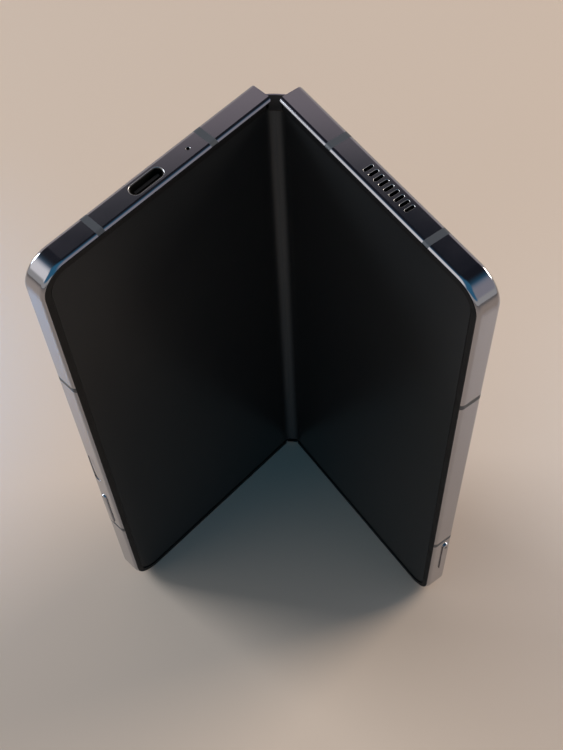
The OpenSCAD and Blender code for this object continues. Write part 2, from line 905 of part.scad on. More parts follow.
module hinge_bracket(side) {
    shift = side < 0 ? 0.5 : 0;
    rail_z = side < 0 ? far_rail_z : station_wall;
    difference() {
        union() {
            for (z = module_z) translate([0, 0, z]) {
                translate([support_s + 0.1, flange_t0, 0])
                    cube([flange_end_s - support_s - 0.1, flange_t1 - flange_t0, module_len]);
                translate([0, 0, gear_z + arc_gap])
                    linear_extrude(gear_len - 2 * arc_gap)
                        arc_gear_section(shift);
                translate([0, 0, rail_z])
                    linear_extrude(rail_len)
                        arc_rail_section();
            }
        }
        screw_places() translate([0, 0, flange_t0 - eps]) {
            cylinder(r = screw_r, h = flange_t1);
            cylinder(r = screw_head_r, h = screw_head_t + eps);
        }
    }
}

module main_hinge_bracket() {
    color(steel) main_half() hinge_bracket(-1);
}

module cover_hinge_bracket() {
    color(steel) cover_half() hinge_bracket(1);
}

module bracket_screws() {
    color(cell_grey) screw_places() translate([0, 0, flange_t0]) {
        cylinder(r = screw_head_r, h = screw_head_t);
        cylinder(r = screw_r, h = flange_t1 - flange_t0 + boss_len - 0.5);
    }
}

module main_bracket_screws() {
    main_half() bracket_screws();
}

module cover_bracket_screws() {
    cover_half() bracket_screws();
}

// ---- Display stack ----

module support_plate() {
    color(steel) plan() layer(screen_t1, support_t1) half_plan(screen_edge, support_s);
}

module main_support_plate() {
    main_half() difference() {
        support_plate();
        plan() translate([inner_camera_s, front_camera_h, 0])
            cylinder(r = front_camera_r, h = body_t);
    }
}

module cover_support_plate() {
    cover_half() support_plate();
}

module screen_panel() {
    color(screen_black) plan() layer(screen_t0, screen_t1) half_plan(screen_edge, strip_s);
}

module main_display() {
    main_half() screen_panel();
}

module cover_side_display() {
    cover_half() screen_panel();
}

bezel_s0 = axis_s + 0.15;

module bezel() {
    color(dark_plastic) plan() layer(0, bezel_t) difference() {
        half_plan(lip_w, bezel_s0);
        half_plan(bezel_in, bezel_s0 - 1);
    }
}

module main_bezel() {
    main_half() bezel();
}

module cover_bezel() {
    cover_half() bezel();
}

// ---- Back of the main half ----

module island_plan(r) {
    translate([camera_line_s, camera_h])
        rotate([0, 0, 90])
            stadium(2 * camera_pitch + 2 * r, 2 * r);
}

module camera_places() {
    for (i = [-1 : 1]) translate([camera_line_s, camera_h + i * camera_pitch]) children();
}

flash_h = camera_h + camera_pitch + island_r + flash_r + 1.6;
island_t1 = body_t + island_rise;

module main_back_glass() {
    color(glass_grey) main_half() plan() layer(back_t0, body_t) difference() {
        half_plan(back_rim, panel_s0);
        island_plan(island_r + glass_gap);
        translate([camera_line_s, flash_h]) circle(flash_r);
    }
}

module camera_island() {
    color(graphite) main_half() plan() layer(back_t0, island_t1) difference() {
        island_plan(island_r);
        camera_places() circle(window_r);
    }
}

module lens_rings() {
    color(steel) main_half() plan() layer(island_t1, island_t1 + ring_rise) difference() {
        camera_places() circle(ring_r);
        camera_places() circle(window_r);
    }
}

module lens_windows() {
    color(screen_black) main_half() plan()
        layer(island_t1 - 0.4, island_t1 + ring_rise - 0.15) camera_places() circle(window_r);
}

module rear_cameras() {
    color(dark_plastic) main_half() plan() {
        layer(inside_t0, back_t0 - 0.6)
            camera_places() square(camera_body, center = true);
        layer(back_t0 - 0.7, island_t1 - 0.4) difference() {
            camera_places() circle(4.4);
            camera_places() circle(2.6);
        }
        layer(back_t0 - 0.7, island_t1 - 0.9) camera_places() circle(2.7);
    }
}

module flash_window() {
    color("#e9e2c8") main_half() plan() layer(back_t0 - 0.4, body_t)
        translate([camera_line_s, flash_h]) circle(flash_r);
}

// ---- Inside of the main half ----

// Space that the shelves, bosses and screws of the hinge need beside a battery
module shelf_rooms() {
    for (z = module_z)
        translate([0, z - shelf_rim - inner_gap, 0])
            cube([board_s0, module_len + 2 * (shelf_rim + inner_gap), body_t]);
}

module battery(t) {
    color(cell_grey) plan() difference() {
        plan_block(inside_s0, battery_s1, battery_h0, battery_h1,
            inside_t0, inside_t0 + t, 1.2);
        shelf_rooms();
    }
}

module main_battery() {
    main_half() battery(battery_t);
}

module cover_battery() {
    cover_half() battery(cover_battery_t);
}

inner_camera_s = (panel_s0 + half_w) / 2;
front_camera_h = 7;
low_h0 = rail_w + 1.2;
low_h1 = battery_h0 - rib_w - 2 * inner_gap - 0.4;
high_h0 = battery_h1 + rib_w + 2 * inner_gap + 0.4;
high_h1 = phone_h - rail_w - 1.2;
board_t0 = inside_t0 + 1.5;
board_s0 = shelf_s1 + 2 * inner_gap;
camera_board_s1 = camera_line_s - camera_body / 2 - 4 * inner_gap;

module main_board() {
    color(board_green) main_half() plan() difference() {
        union() {
            plan_block(board_s0, camera_board_s1, low_h0, low_h1,
                board_t0, board_t0 + board_t, 1);
            plan_block(board_s0 + 4, camera_board_s1 - 2.8, low_h0 + 12, low_h1 - 6,
                board_t0 + board_t - eps, board_t0 + board_t + 1.2, 0.6);
            plan_block(board_s0 + 3, camera_board_s1 - 1.8, low_h0 + 11, low_h1 - 5,
                inside_t0, board_t0 + eps, 0.6);
        }
        translate([inner_camera_s, front_camera_h, 0])
            cylinder(r = front_camera_r + 0.6, h = body_t);
    }
}

module charging_coil() {
    color("#a86b3c") main_half() plan()
        layer(inside_t0 + battery_t, inside_t0 + battery_t + 0.3)
            translate([(inside_s0 + battery_s1) / 2, (battery_h0 + battery_h1) / 2])
                difference() {
                    circle(coil_r1);
                    circle(coil_r0);
                }
}

port_board_t0 = port_t + usb_h / 2;
motor_s0 = usb_s + port_board_past + 10 * inner_gap;

module port_board() {
    color(board_green) main_half() plan()
        plan_block(mic_s - microphone_past, usb_s + port_board_past, high_h0 + 4, high_h1,
            port_board_t0, port_board_t0 + board_t / 2, 0.8);
}

module usb_shell() {
    color(steel) main_half() plan() difference() {
        top_bar(usb_s, port_t, usb_depth) stadium(usb_w, usb_h);
        top_bar(usb_s, port_t, usb_depth - 0.4)
            stadium(usb_w - 2 * usb_wall, usb_h - 2 * usb_wall);
        translate([usb_s - usb_w, phone_h - 0.15, 0]) cube([2 * usb_w, 1, body_t]);
    }
}

module usb_tongue() {
    color(dark_plastic) main_half() plan()
        translate([usb_s - 3.35, phone_h - usb_depth + 0.4, port_t - 0.35])
            cube([6.7, usb_depth - 1.3, 0.7]);
}

module microphone() {
    color(brass) main_half() plan()
        plan_block(mic_s - 1.8, mic_s + 1.8, high_h1 - 2.6, phone_h - rail_w,
            port_t - 0.6, port_board_t0, 0.2);
}

module vibration_motor() {
    color(steel) main_half() plan()
        plan_block(motor_s0, motor_s0 + motor_len, high_h0 + 2, high_h0 + 2 + motor_w,
            inside_t0, inside_t0 + 3.4, 1.2);
}

module inner_camera() {
    color(dark_plastic) main_half() plan() translate([inner_camera_s, front_camera_h, 0]) {
        translate([0, 0, screen_t1]) cylinder(r = front_camera_r - 0.05, h = mid_t1 - screen_t1);
        translate([0, 0, inside_t0 - inner_gap])
            cylinder(r = front_camera_r + 0.4, h = 3);
    }
}

// ---- Keys ----

module power_key() {
    color(graphite) main_half() plan() {
        edge_bar(power_h, power_len, key_w, half_w - rail_w - 0.2, half_w - power_sink);
        edge_bar(power_h, power_len + 1.6, key_w + 0.7,
            half_w - rail_w - 0.5, half_w - rail_w - 0.1);
    }
}

module power_switch() {
    color(steel) main_half() plan()
        translate([half_w - rail_w - 1.9, power_h - 3, key_t - 1])
            cube([1.4 - power_travel - 0.05, 6, 2]);
}

module volume_key() {
    color(graphite) main_half() plan() {
        edge_bar(volume_h, volume_len, key_w, half_w - rail_w - 0.3, half_w + key_rise);
        edge_bar(volume_h, 6, key_w + 0.7, half_w - rail_w - 0.6, half_w - rail_w - 0.2);
    }
}

module volume_switches() {
    color(steel) main_half() plan() for (d = [-5.5, 5.5])
        translate([half_w - rail_w - 1.9, volume_h + d - 1.5, key_t - 0.9])
            cube([1.4, 3, 1.8]);
}

// ---- Back of the cover half ----

cover_camera_s = (panel_s0 + half_w - back_rim) / 2;
earpiece_h = back_rim + 1.3;

module cover_glass() {
    color(screen_black) cover_half() plan() layer(back_t0, body_t) difference() {
        half_plan(back_rim, panel_s0);
        translate([cover_camera_s, earpiece_h]) stadium(earpiece_len, earpiece_w);
    }
}

module cover_display() {
    color(dark_plastic) cover_half() plan() layer(back_t0 - cover_screen_t, back_t0) difference() {
        half_plan(rail_w + 0.8, panel_s0 + 1.5);
        translate([cover_camera_s, front_camera_h]) circle(front_camera_r + 0.2);
    }
}

module cover_camera() {
    color(dark_plastic) cover_half() plan() translate([cover_camera_s, front_camera_h, 0]) {
        translate([0, 0, inside_t0]) cylinder(r = front_camera_r + 0.6, h = 2.2);
        translate([0, 0, inside_t0]) cylinder(r = front_camera_r, h = back_t0 - inside_t0);
    }
}

module earpiece_mesh() {
    color(cell_grey) cover_half() plan() layer(back_t0, body_t - 0.2)
        translate([cover_camera_s, earpiece_h]) stadium(earpiece_len, earpiece_w);
}

earpiece_s0 = cover_camera_s + front_camera_r + 2.2;
earpiece_h0 = rail_w + 0.4;

module earpiece() {
    color(dark_plastic) cover_half() plan()
        plan_block(earpiece_s0, earpiece_s0 + speaker_box_len,
            earpiece_h0, earpiece_h0 + speaker_box_w, inside_t0, back_t0 - 0.6, 0.5);
}

// ---- Inside of the cover half ----

tray_t = 1;
tray_body_len = tray_len - 2;
tray_s0 = half_w - tray_depth;

module cover_board() {
    color(board_green) cover_half() plan() {
        plan_block(board_s0, tray_s0 - 1.6, low_h0 + 8, low_h1,
            board_t0, board_t0 + board_t, 1);
        plan_block(board_s0 + 4, tray_s0 - 5, low_h0 + 16, low_h1 - 8,
            board_t0 + board_t - eps, board_t0 + board_t + 1, 0.6);
        plan_block(board_s0 + 4, tray_s0 - 5, low_h0 + 16, low_h1 - 8,
            inside_t0, board_t0 + eps, 0.6);
    }
}

speaker_s0 = slot_s - 3;
speaker_s1 = slot_s + (slots - 1) * slot_pitch + 6;

module loudspeaker() {
    color(dark_plastic) cover_half() plan()
        plan_block(speaker_s0, speaker_s1, high_h0 + 6, phone_h - rail_w - 0.5,
            inside_t0, back_t0 - 0.6, 1);
}

mesh_t = 0.45;
mesh_rim = 0.05;

module speaker_mesh() {
    color(cell_grey) cover_half() plan()
        translate([slot_s - slot_w, phone_h - rail_w - mesh_t, slot_t - slot_len / 2 - mesh_rim])
            cube([(slots - 1) * slot_pitch + 2 * slot_w, mesh_t, slot_len + 2 * mesh_rim]);
}

module sim_tray() {
    color(graphite) cover_half() plan() difference() {
        union() {
            edge_bar(tray_h, tray_len, key_w, half_w - rail_w + 0.4, half_w + key_rise);
            translate([tray_s0, tray_h - tray_body_len / 2, key_t - tray_t / 2])
                cube([tray_depth - rail_w + 0.5, tray_body_len, tray_t]);
        }
        translate([tray_s0 + 2, tray_h - 6.2, key_t - 0.1])
            cube([tray_depth - rail_w - 5, 12.4, tray_t]);
        translate([half_w, tray_h + tray_len / 2 - 2, key_t])
            rotate([0, 90, 0]) cylinder(r = 0.4, h = 2 * rail_w, center = true);
    }
}

module sim_socket() {
    wall = 0.3;
    color(steel) cover_half() plan() difference() {
        translate([tray_s0 - 1.2, tray_h - tray_body_len / 2 - 1, key_t - 1.05])
            cube([tray_depth - rail_w + 0.9, tray_body_len + 2, 2.1]);
        translate([tray_s0 - 1.2 + wall, tray_h - tray_body_len / 2 - 1 + wall, key_t - 0.75])
            cube([tray_depth, tray_body_len + 2 - 2 * wall, 1.5]);
    }
}

spine_cover();
hinge_housings();
spine_end_caps();
display_fold_strip();
flex_cables();
main_outer_pinion();
main_inner_pinion();
cover_inner_pinion();
cover_outer_pinion();
main_frame();
main_antenna_bands();
main_hinge_bracket();
main_bracket_screws();
main_support_plate();
main_display();
main_bezel();
main_back_glass();
camera_island();
lens_rings();
lens_windows();
rear_cameras();
flash_window();
main_battery();
main_board();
charging_coil();
port_board();
usb_shell();
usb_tongue();
microphone();
vibration_motor();
inner_camera();
power_key();
power_switch();
volume_key();
volume_switches();
cover_frame();
cover_antenna_bands();
cover_hinge_bracket();
cover_bracket_screws();
cover_support_plate();
cover_side_display();
cover_bezel();
cover_glass();
cover_display();
cover_camera();
earpiece_mesh();
earpiece();
cover_battery();
cover_board();
loudspeaker();
speaker_mesh();
sim_tray();
sim_socket();
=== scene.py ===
import json
import math

import bpy
from bpy.props import (FloatProperty, FloatVectorProperty, IntProperty,
                       PointerProperty)
from mathutils import Matrix, Vector


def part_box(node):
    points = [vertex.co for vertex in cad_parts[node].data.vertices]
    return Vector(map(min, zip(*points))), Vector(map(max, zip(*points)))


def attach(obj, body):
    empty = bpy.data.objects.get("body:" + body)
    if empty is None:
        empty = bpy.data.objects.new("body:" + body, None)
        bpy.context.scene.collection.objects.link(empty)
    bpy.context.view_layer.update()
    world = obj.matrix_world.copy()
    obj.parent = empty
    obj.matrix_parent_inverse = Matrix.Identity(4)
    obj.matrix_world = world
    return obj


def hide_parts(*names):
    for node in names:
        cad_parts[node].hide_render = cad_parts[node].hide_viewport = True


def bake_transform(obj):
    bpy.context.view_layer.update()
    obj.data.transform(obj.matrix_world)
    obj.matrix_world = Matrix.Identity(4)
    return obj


bl_info = {
    "name": "Foldable Phone",
    "version": (1, 0, 0),
    "blender": (4, 5, 0),
    "location": "View3D > Sidebar > Phone",
    "description": "Dresses the packed model of a foldable phone and sets up its stage",
    "category": "Object",
}

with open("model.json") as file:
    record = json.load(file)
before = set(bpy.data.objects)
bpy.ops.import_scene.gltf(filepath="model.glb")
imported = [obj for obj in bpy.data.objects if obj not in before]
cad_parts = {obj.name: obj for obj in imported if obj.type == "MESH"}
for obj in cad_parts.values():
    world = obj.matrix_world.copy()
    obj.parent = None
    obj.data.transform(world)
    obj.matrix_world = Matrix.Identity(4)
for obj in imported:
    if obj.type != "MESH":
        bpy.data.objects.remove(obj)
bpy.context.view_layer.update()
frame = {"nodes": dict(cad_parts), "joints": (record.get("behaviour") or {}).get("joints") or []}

MM = 0.001
CLOSE = 1e-7                        # points nearer than this, in metres, are the same
SMOOTH_ANGLE = math.radians(35)     # flatter edges than this are shaded smooth
ROUND_STEPS = 48                    # sides of a full circle
CORNER_STEPS = 20                   # steps round a corner of the screen


# ---- The phone's frame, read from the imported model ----

def joint(name):
    return next(j for j in frame["joints"] if j["name"] == name)


AXIS_X, HINGE_Y = joint("cover_fold")["pos_m"][:2]
TRAY_WAY = joint("sim_tray_slide")["axis"]
FOLD = math.atan2(-TRAY_WAY[1], TRAY_WAY[0])
AXIS_DEPTH = 0.45 * MM
PHONE_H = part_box("main_frame")[1].z


def half_matrix(side):
    """From an unfolded half (away from the hinge, depth, height) to where it stands."""
    to_axis = Matrix.Translation((-AXIS_X, -AXIS_DEPTH, 0))
    turn = Matrix.Rotation(-FOLD, 4, "Z")
    back = Matrix.Translation((AXIS_X, HINGE_Y, 0))
    mirror = Matrix.Diagonal((side, 1, 1, 1))
    return mirror @ back @ turn @ to_axis


# Sizes of the CAD half that the new pieces meet, in metres. A depth is measured from the
# half's front face, and the screen's and the border's edges from the half's outline.
HALF_W = 65.05 * MM
CORNER_R = 7 * MM
SCREEN_DEPTH = 0.3 * MM
SCREEN_T = 0.35 * MM
SCREEN_EDGE = 0.95 * MM
BEZEL_IN = 1.9 * MM
STRIP_END = 4 * MM
STRIP_LOW = 2.0 * MM
RAIL_W = 2.3 * MM
KEY_DEPTH = 4.25 * MM
KEY_W = 1.9 * MM
PORT_DEPTH = 3.3 * MM

SIDES = {"main_half": -1, "cover_half": 1}


# ---- Sizes and colours that a user would change ----

class PhoneLooks(bpy.types.PropertyGroup):
    metal: FloatVectorProperty(name="Frame metal", description="Colour of the frames",
                               subtype="COLOR", size=3, default=(0.40, 0.405, 0.44))
    band: FloatVectorProperty(name="Antenna bands", description="Colour of the plastic bands",
                              subtype="COLOR", size=3, default=(0.055, 0.060, 0.068))
    back: FloatVectorProperty(name="Back glass", description="Colour of the back panel",
                              subtype="COLOR", size=3, default=(0.20, 0.21, 0.25))
    screen: FloatVectorProperty(name="Screen", description="Colour of the dark display",
                                subtype="COLOR", size=3, default=(0.0130, 0.0137, 0.0145))
    # Painted sheen: the fold of the screen is drawn lighter, in place of the light that it
    # catches
    fold_sheen: FloatVectorProperty(name="Crease", description="Colour of the fold in the screen",
                                subtype="COLOR", size=3, default=(0.052, 0.052, 0.052))


class PhoneSizes(bpy.types.PropertyGroup):
    film_margin: FloatProperty(name="Film margin", description="From the border to the film",
                               default=0.35 * MM, min=0.1 * MM, max=1 * MM, unit="LENGTH")
    film_t: FloatProperty(name="Film thickness", description="Thickness of the screen film",
                          default=0.08 * MM, min=0.03 * MM, max=0.15 * MM, unit="LENGTH")
    rim_r: FloatProperty(name="Opening rim", description="Radius of the openings' bright rims",
                         default=0.12 * MM, min=0.05 * MM, max=0.2 * MM, unit="LENGTH")
    key_bevel: FloatProperty(name="Key edge", description="Rounding of the keys' edges",
                             default=0.22 * MM, min=0.05 * MM, max=0.4 * MM, unit="LENGTH")
    slots: IntProperty(name="Speaker slots", description="Number of speaker slots",
                       default=9, min=1, max=10)


class PhoneStage(bpy.types.PropertyGroup):
    floor: FloatVectorProperty(name="Floor", description="Colour of the floor",
                               subtype="COLOR", size=3, default=(0.585, 0.455, 0.36))
    lens: FloatProperty(name="Lens", description="Focal length of the camera in millimetres",
                        default=60.19, min=20, max=200, unit="CAMERA")


# ---- Patterns for the materials ----

def new_material(name):
    """A material with one shader, and the object coordinates that its detail reads."""
    mat = bpy.data.materials.new(name)
    mat.use_nodes = True
    tree = mat.node_tree
    shader = tree.nodes["Principled BSDF"]
    where = tree.nodes.new("ShaderNodeTexCoord")
    return mat, tree, shader, where.outputs["Object"]


def grain(tree, place, scale):
    noise = tree.nodes.new("ShaderNodeTexNoise")
    noise.inputs["Scale"].default_value = scale
    noise.inputs["Detail"].default_value = 3
    tree.links.new(place, noise.inputs["Vector"])
    return noise.outputs["Fac"]


def spread(tree, pattern, low, high):
    """Makes a noise pattern, which mostly lies between 0.3 and 0.7, run from low to high."""
    node = tree.nodes.new("ShaderNodeMapRange")
    node.inputs["From Min"].default_value = 0.3
    node.inputs["From Max"].default_value = 0.7
    node.inputs["To Min"].default_value = low
    node.inputs["To Max"].default_value = high
    tree.links.new(pattern, node.inputs["Value"])
    return node.outputs["Result"]


def in_range(tree, value, low, high):
    """Runs smoothly from 0 at the low value to 1 at the high one."""
    node = tree.nodes.new("ShaderNodeMapRange")
    node.interpolation_type = "SMOOTHSTEP"
    node.inputs["From Min"].default_value = low
    node.inputs["From Max"].default_value = high
    tree.links.new(value, node.inputs["Value"])
    return node.outputs["Result"]


def mix_colours(tree, factor, first, second):
    """Mixes two colours, each a tuple or another node's output."""
    node = tree.nodes.new("ShaderNodeMix")
    node.data_type = "RGBA"
    tree.links.new(factor, node.inputs["Factor"])
    for name, colour in (("A", first), ("B", second)):
        if isinstance(colour, tuple):
            node.inputs[name].default_value = (*colour, 1)
        else:
            tree.links.new(colour, node.inputs[name])
    return node.outputs["Result"]


def relief(tree, shader, pattern, depth):
    node = tree.nodes.new("ShaderNodeBump")
    node.inputs["Distance"].default_value = depth
    node.inputs["Strength"].default_value = 0.3
    tree.links.new(pattern, node.inputs["Height"])
    tree.links.new(node.outputs["Normal"], shader.inputs["Normal"])


def shade(colour, k):
    """The colour made k times as bright, each channel at most 1."""
    return tuple(min(1, c * k) for c in colour)


# ---- Materials ----

BROADER = 20                            # the broad pattern is this much coarser than the fine
SCREEN_SPECULAR = 0.15
FILM_SCALE = 400
FOLD_SHEEN_REACH = (0.2 * MM, 2.2 * MM)     # from the fold: the painted sheen in full up to, and none from


def finish_material(name, colour, rough, vary, scale, metallic=0.0, bump=0.0, coat=0.0,
                    specular=0.5, contrast=0.06):
    """A surface with a broad variation of colour and roughness, and a fine relief."""
    mat, tree, shader, place = new_material(name)
    broad = grain(tree, place, scale / BROADER)
    dark, light = shade(colour, 1 - contrast), shade(colour, 1 + contrast)
    tree.links.new(mix_colours(tree, broad, dark, light), shader.inputs["Base Color"])
    tree.links.new(spread(tree, broad, rough - vary, rough + vary),
                   shader.inputs["Roughness"])
    shader.inputs["Metallic"].default_value = metallic
    shader.inputs["Coat Weight"].default_value = coat
    shader.inputs["Specular IOR Level"].default_value = specular
    if bump:
        relief(tree, shader, grain(tree, place, scale), bump)
    return mat


def fold_material(name, colour, fold_sheen):
    """Screen film with a painted sheen along the fold, in the middle of the phone: lighter
    there, in place of the light that the fold catches.
    """
    mat, tree, shader, place = new_material(name)
    split = tree.nodes.new("ShaderNodeSeparateXYZ")
    tree.links.new(place, split.inputs["Vector"])
    out = tree.nodes.new("ShaderNodeMath")
    out.operation = "ABSOLUTE"
    tree.links.new(split.outputs["X"], out.inputs[0])
    # painted sheen: the lighter colour near the fold, fading to the screen's colour away from it
    away = in_range(tree, out.outputs["Value"], *FOLD_SHEEN_REACH)
    tree.links.new(mix_colours(tree, away, tuple(fold_sheen), tuple(colour)),
                   shader.inputs["Base Color"])
    tree.links.new(spread(tree, grain(tree, place, FILM_SCALE), 0.30, 0.36),
                   shader.inputs["Roughness"])
    shader.inputs["Specular IOR Level"].default_value = SCREEN_SPECULAR
    return mat


def coil_material(name, colour):
    """Copper windings: fine rings round the coil's middle, seen along its axis."""
    mat, tree, shader, place = new_material(name)
    low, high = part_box("charging_coil")
    middle = (low + high) / 2
    centre = tree.nodes.new("ShaderNodeMapping")
    centre.inputs["Location"].default_value = -middle
    tree.links.new(place, centre.inputs["Vector"])
    rings = tree.nodes.new("ShaderNodeTexWave")
    rings.wave_type = "RINGS"
    rings.rings_direction = "SPHERICAL"
    rings.inputs["Scale"].default_value = 300
    tree.links.new(centre.outputs["Vector"], rings.inputs["Vector"])
    tree.links.new(mix_colours(tree, rings.outputs["Fac"], shade(colour, 0.6), colour),
                   shader.inputs["Base Color"])
    relief(tree, shader, rings.outputs["Fac"], depth=0.05 * MM)
    shader.inputs["Metallic"].default_value = 1
    shader.inputs["Roughness"].default_value = 0.35
    return mat


def make_materials():
    looks = bpy.context.scene.phone_looks
    return {
        "frame": finish_material("frame metal", looks.metal, rough=0.10, vary=0.02,
                                 scale=2500, metallic=1, contrast=0.02),
        "band": finish_material("antenna plastic", looks.band, rough=0.42, vary=0.05,
                                scale=3000, bump=0.01 * MM),
        "border": finish_material("border plastic", (0.004, 0.004, 0.0045), rough=0.5,
                                  vary=0.05, scale=4000, bump=0.012 * MM, specular=0.2),
        "screen": finish_material("screen", looks.screen, rough=0.32, vary=0.03, scale=600,
                                  specular=SCREEN_SPECULAR),
        "film": finish_material("screen film", looks.screen, rough=0.30, vary=0.02,
                                scale=FILM_SCALE, specular=SCREEN_SPECULAR),
        "fold": fold_material("folded film", looks.screen, looks.fold_sheen),
        "back": finish_material("frosted back glass", looks.back, rough=0.34, vary=0.03,
                                scale=5000, bump=0.004 * MM),
        "glass": finish_material("cover glass", (0.006, 0.006, 0.008), rough=0.06,
                                 vary=0.01, scale=500, coat=1),
        "steel": finish_material("hinge steel", (0.55, 0.56, 0.58), rough=0.30, vary=0.05,
                                 scale=2000, metallic=1, bump=0.004 * MM),
        "rim": finish_material("polished rims", (0.46, 0.45, 0.45), rough=0.34, vary=0.04,
                               scale=4000, metallic=1),
        # Painted shade: the socket's shell is dark metal, darker than bare steel, so the inside
        # of the socket reads shaded
        "shell": finish_material("socket shell", (0.10, 0.095, 0.09), rough=0.42, vary=0.05,
                                 scale=2500, metallic=1),
        "brass": finish_material("pinion brass", (0.66, 0.50, 0.24), rough=0.28, vary=0.05,
                                 scale=2000, metallic=1, bump=0.003 * MM),
        "plastic": finish_material("black plastic", (0.015, 0.015, 0.016), rough=0.5,
                                   vary=0.06, scale=3000, bump=0.01 * MM),
        "lamp": finish_material("flash lens", (0.80, 0.76, 0.62), rough=0.2, vary=0.04,
                                scale=1500, coat=0.6),
        "cell": finish_material("battery wrap", (0.05, 0.05, 0.055), rough=0.4, vary=0.06,
                                scale=800, bump=0.02 * MM),
        "board": finish_material("circuit board", (0.012, 0.07, 0.045), rough=0.42,
                                 vary=0.08, scale=1500, bump=0.02 * MM, contrast=0.3),
        "flex": finish_material("flex cable", (0.45, 0.22, 0.07), rough=0.35, vary=0.05,
                                scale=1500),
        "coil": coil_material("copper windings", (0.72, 0.36, 0.19)),
    }


FINISHED = {}


def materials():
    """The finished materials by their short names, made once."""
    if not FINISHED:
        FINISHED.update(make_materials())
    return FINISHED


NODE_FINISH = {
    "frame": ["main_frame", "cover_frame", "spine_cover", "camera_island", "power_key",
              "volume_key", "sim_tray"],
    "band": ["main_antenna_bands", "cover_antenna_bands"],
    # The speaker mesh in black plastic darkens the insides of the speaker slots: partly its own
    # dark colour, partly painted shade
    "border": ["main_bezel", "cover_bezel", "spine_end_caps", "usb_tongue", "speaker_mesh"],
    "screen": ["main_display", "cover_side_display", "display_fold_strip"],
    "back": ["main_back_glass"],
    "glass": ["cover_glass", "lens_windows", "cover_display"],
    "steel": ["hinge_housings", "main_hinge_bracket", "cover_hinge_bracket",
              "main_bracket_screws", "cover_bracket_screws", "main_support_plate",
              "cover_support_plate", "lens_rings", "vibration_motor", "sim_socket",
              "power_switch", "volume_switches", "earpiece_mesh"],
    # painted shade: the socket's shell takes the darkened metal
    "shell": ["usb_shell"],
    "brass": ["main_outer_pinion", "main_inner_pinion", "cover_inner_pinion",
              "cover_outer_pinion"],
    "plastic": ["rear_cameras", "microphone", "inner_camera", "cover_camera", "earpiece",
                "loudspeaker"],
    "lamp": ["flash_window"],
    "cell": ["main_battery", "cover_battery"],
    "board": ["main_board", "port_board", "cover_board"],
    "flex": ["flex_cables"],
    "coil": ["charging_coil"],
}


# ---- Modelling helpers ----

def nothing_selected():
    if bpy.context.object and bpy.context.object.mode != "OBJECT":
        bpy.ops.object.mode_set(mode="OBJECT")
    bpy.ops.object.select_all(action="DESELECT")


def only(obj):
    """Selects one object alone and makes it the active one."""
    nothing_selected()
    obj.select_set(True)
    bpy.context.view_layer.objects.active = obj


def select_in_edit(obj, kind, chosen):
    """Goes into edit mode with the chosen vertices (VERT) or edges (EDGE) selected."""
    bpy.ops.object.mode_set(mode="EDIT")
    bpy.ops.mesh.select_mode(type=kind)
    bpy.ops.mesh.select_all(action="DESELECT")
    bpy.ops.object.mode_set(mode="OBJECT")
    elements = obj.data.vertices if kind == "VERT" else obj.data.edges
    for i in chosen:
        elements[i].select = True
    bpy.ops.object.mode_set(mode="EDIT")


def apply_modifier(obj, kind, **settings):
    mod = obj.modifiers.new(kind.title(), kind)
    for key, value in settings.items():
        setattr(mod, key, value)
    bpy.context.view_layer.objects.active = obj
    bpy.ops.object.modifier_apply(modifier=mod.name)


def tidy_normals(obj):
    """Merges doubled points, turns the faces outwards and shades gentle edges smooth."""
    only(obj)
    bpy.ops.object.mode_set(mode="EDIT")
    bpy.ops.mesh.select_all(action="SELECT")
    bpy.ops.mesh.remove_doubles(threshold=CLOSE)
    bpy.ops.mesh.normals_make_consistent(inside=False)
    bpy.ops.object.mode_set(mode="OBJECT")
    bpy.ops.object.shade_smooth_by_angle(angle=SMOOTH_ANGLE)


def onto_half(obj, body):
    """Stands an unfolded piece where its half stands, with its place in its mesh."""
    only(obj)
    bpy.ops.object.transform_apply(location=True, rotation=True, scale=True)
    obj.data.transform(half_matrix(SIDES[body]))
    tidy_normals(obj)


def finish_piece(obj, name, mat):
    obj.name = name
    obj.data.materials.clear()
    obj.data.materials.append(mat)
    return obj


def pull_apart(obj, axis, distance):
    """Moves the two ends of a centred piece apart along an axis, and leaves its middle."""
    if distance < CLOSE:
        return
    for way in (-1, 1):
        end = [v.index for v in obj.data.vertices if way * v.co[axis] > CLOSE]
        select_in_edit(obj, "VERT", end)
        move = [0, 0, 0]
        move[axis] = way * distance
        bpy.ops.transform.translate(value=move)
        bpy.ops.object.mode_set(mode="OBJECT")


# ---- Folding display ----

BLEND_START = -1.6 * MM
REST_END_X = (AXIS_X + (STRIP_END - AXIS_X) * math.cos(FOLD)
              - (AXIS_DEPTH - SCREEN_DEPTH) * math.sin(FOLD))
STRIP_COLUMNS = 28      # across the fold
STRIP_ROWS = 24         # along the fold
HALVINGS = 40           # of the share of the turn, as it is searched for


def rounded_plate(low, high, radius):
    """A plate between two corners (away, depth, height), its outer corners rounded."""
    nothing_selected()
    low, high = Vector(low), Vector(high)
    bpy.ops.mesh.primitive_cube_add(size=1, location=(low + high) / 2)
    obj = bpy.context.object
    obj.scale = high - low
    bpy.ops.object.transform_apply(location=True, rotation=False, scale=True)
    place = [v.co.copy() for v in obj.data.vertices]
    corners = [e.index for e in obj.data.edges
               if all(abs(place[v].x - high.x) < CLOSE for v in e.vertices)
               and abs(place[e.vertices[0]].y - place[e.vertices[1]].y) > CLOSE]
    select_in_edit(obj, "EDGE", corners)
    bpy.ops.mesh.bevel(offset=radius, offset_type="OFFSET", segments=CORNER_STEPS,
                       affect="EDGES")
    bpy.ops.object.mode_set(mode="OBJECT")
    return obj


def share(x):
    """How much of the half's turn a point of the strip takes at this distance out."""
    t = min(1, max(0, (x - BLEND_START) / (REST_END_X - BLEND_START)))
    return t * t * (3 - 2 * t)


